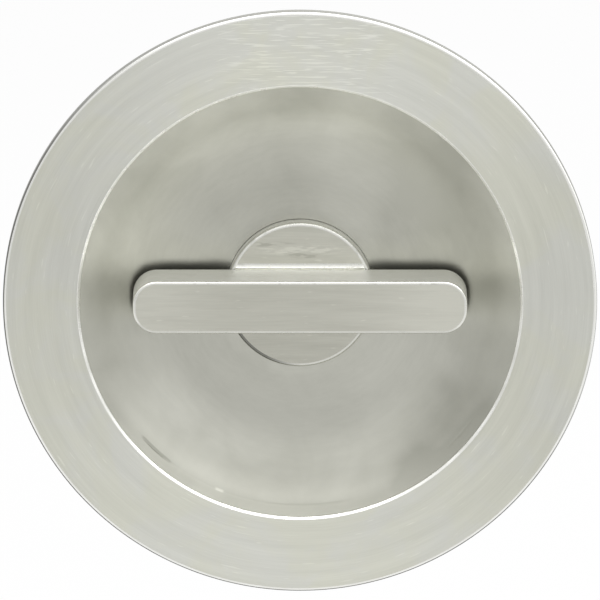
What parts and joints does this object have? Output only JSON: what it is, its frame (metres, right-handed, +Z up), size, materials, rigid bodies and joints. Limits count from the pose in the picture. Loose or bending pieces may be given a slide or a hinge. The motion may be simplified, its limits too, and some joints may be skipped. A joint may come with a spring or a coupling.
{
  "type": "flush pocket door pull with thumb turn",
  "caption": "Round satin stainless flush pull for a pocket door: a flanged finger bowl with a bar-shaped privacy thumb turn that drives a square spindle behind it.",
  "frame": {"origin": "on the turn's axis, in the plane of the flange's back face, which lies on the door's face", "axes": "+Y along the turn's axis into the door, +X to the right and +Z up as one faces the door"},
  "size_m": [0.08, 0.0392, 0.08],
  "materials": {
    "cup_stainless": "satin, circular brushing on the flange",
    "turn_stainless": "satin, brushed along the bar",
    "acetal": "matte",
    "plated_steel": "zinc plated",
    "spring_steel": "oiled, dark"
  },
  "bodies": {
    "pull": {"flush_cup": "cup_stainless", "shaft_bush": "acetal", "fixing_post_left": "plated_steel", "fixing_post_right": "plated_steel"},
    "turn": {"thumb_turn": "turn_stainless", "spring_washer": "spring_steel", "backing_washer": "plated_steel", "circlip": "spring_steel", "spindle": "plated_steel", "spindle_pin": "spring_steel"}
  },
  "joints": [
    {"name": "turn_pivot", "type": "hinge", "parent": "pull", "child": "turn", "pos_m": [0, 0, 0], "axis": [0, 1, 0], "range_deg": [0, 90]}
  ]
}
